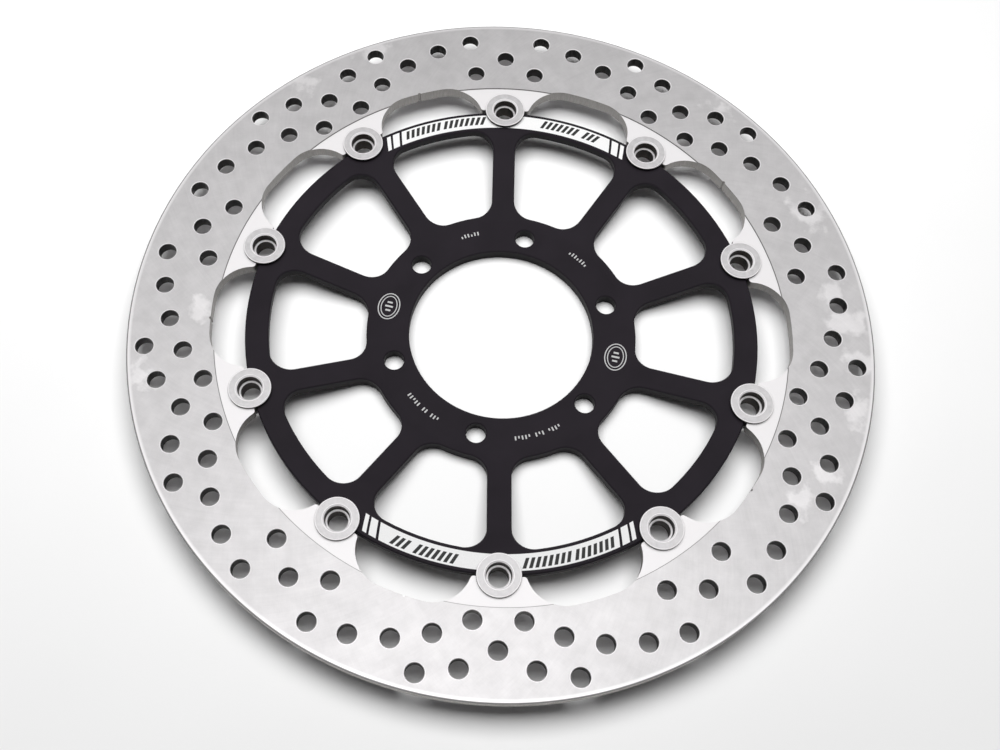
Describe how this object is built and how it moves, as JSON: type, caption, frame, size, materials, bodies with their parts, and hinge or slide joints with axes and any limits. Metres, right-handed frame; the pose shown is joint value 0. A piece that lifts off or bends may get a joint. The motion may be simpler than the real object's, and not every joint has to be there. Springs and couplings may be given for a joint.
{
  "type": "motorcycle floating brake disc rotor",
  "caption": "Floating front brake disc: drilled steel friction ring held on a dished black aluminium carrier by round bobbins with wave springs, washers and circlips.",
  "frame": {"origin": "centre of the hub bore, on the rear face of the hub that bolts to the wheel", "axes": "+Z along the wheel axle towards the outer side of the disc, where the bobbin heads are; +Y through the first bobbin"},
  "size_m": [0.31, 0.31, 0.0151],
  "materials": {
    "disc_steel": "satin, machine ground, with blasted tabs",
    "black_anodised": "satin black anodised, white printed bands on the rim",
    "turned_steel": "satin, lathe turned",
    "spring_steel": "satin rolled strip",
    "washer_steel": "bright zinc plated",
    "clip_steel": "black phosphated"
  },
  "bodies": {
    "carrier": {"carrier": "black_anodised"},
    "ring": {"brake_ring": "disc_steel"},
    "bobbin_set_01": {"bobbin_01": "turned_steel", "wave_spring_01": "spring_steel", "flat_washer_01": "washer_steel", "circlip_01": "clip_steel"},
    "bobbin_set_02": {"bobbin_02": "turned_steel", "wave_spring_02": "spring_steel", "flat_washer_02": "washer_steel", "circlip_02": "clip_steel"},
    "bobbin_set_03": {"bobbin_03": "turned_steel", "wave_spring_03": "spring_steel", "flat_washer_03": "washer_steel", "circlip_03": "clip_steel"},
    "bobbin_set_04": {"bobbin_04": "turned_steel", "wave_spring_04": "spring_steel", "flat_washer_04": "washer_steel", "circlip_04": "clip_steel"},
    "bobbin_set_05": {"bobbin_05": "turned_steel", "wave_spring_05": "spring_steel", "flat_washer_05": "washer_steel", "circlip_05": "clip_steel"},
    "bobbin_set_06": {"bobbin_06": "turned_steel", "wave_spring_06": "spring_steel", "flat_washer_06": "washer_steel", "circlip_06": "clip_steel"},
    "bobbin_set_07": {"bobbin_07": "turned_steel", "wave_spring_07": "spring_steel", "flat_washer_07": "washer_steel", "circlip_07": "clip_steel"},
    "bobbin_set_08": {"bobbin_08": "turned_steel", "wave_spring_08": "spring_steel", "flat_washer_08": "washer_steel", "circlip_08": "clip_steel"},
    "bobbin_set_09": {"bobbin_09": "turned_steel", "wave_spring_09": "spring_steel", "flat_washer_09": "washer_steel", "circlip_09": "clip_steel"},
    "bobbin_set_10": {"bobbin_10": "turned_steel", "wave_spring_10": "spring_steel", "flat_washer_10": "washer_steel", "circlip_10": "clip_steel"}
  },
  "joints": [
    {"name": "ring_float", "type": "slide", "parent": "carrier", "child": "ring", "axis": [0, 0, 1], "range_m": [-0.0005, 0]},
    {"name": "bobbin_01_spin", "type": "hinge", "parent": "ring", "child": "bobbin_set_01", "pos_m": [0, 0.10715, 0.0099], "axis": [0, 0, 1], "continuous": true},
    {"name": "bobbin_02_spin", "type": "hinge", "parent": "ring", "child": "bobbin_set_02", "pos_m": [0.06298, 0.08669, 0.0099], "axis": [0, 0, 1], "continuous": true},
    {"name": "bobbin_03_spin", "type": "hinge", "parent": "ring", "child": "bobbin_set_03", "pos_m": [0.10191, 0.03311, 0.0099], "axis": [0, 0, 1], "continuous": true},
    {"name": "bobbin_04_spin", "type": "hinge", "parent": "ring", "child": "bobbin_set_04", "pos_m": [0.10191, -0.03311, 0.0099], "axis": [0, 0, 1], "continuous": true},
    {"name": "bobbin_05_spin", "type": "hinge", "parent": "ring", "child": "bobbin_set_05", "pos_m": [0.06298, -0.08669, 0.0099], "axis": [0, 0, 1], "continuous": true},
    {"name": "bobbin_06_spin", "type": "hinge", "parent": "ring", "child": "bobbin_set_06", "pos_m": [0, -0.10715, 0.0099], "axis": [0, 0, 1], "continuous": true},
    {"name": "bobbin_07_spin", "type": "hinge", "parent": "ring", "child": "bobbin_set_07", "pos_m": [-0.06298, -0.08669, 0.0099], "axis": [0, 0, 1], "continuous": true},
    {"name": "bobbin_08_spin", "type": "hinge", "parent": "ring", "child": "bobbin_set_08", "pos_m": [-0.10191, -0.03311, 0.0099], "axis": [0, 0, 1], "continuous": true},
    {"name": "bobbin_09_spin", "type": "hinge", "parent": "ring", "child": "bobbin_set_09", "pos_m": [-0.10191, 0.03311, 0.0099], "axis": [0, 0, 1], "continuous": true},
    {"name": "bobbin_10_spin", "type": "hinge", "parent": "ring", "child": "bobbin_set_10", "pos_m": [-0.06298, 0.08669, 0.0099], "axis": [0, 0, 1], "continuous": true}
  ]
}
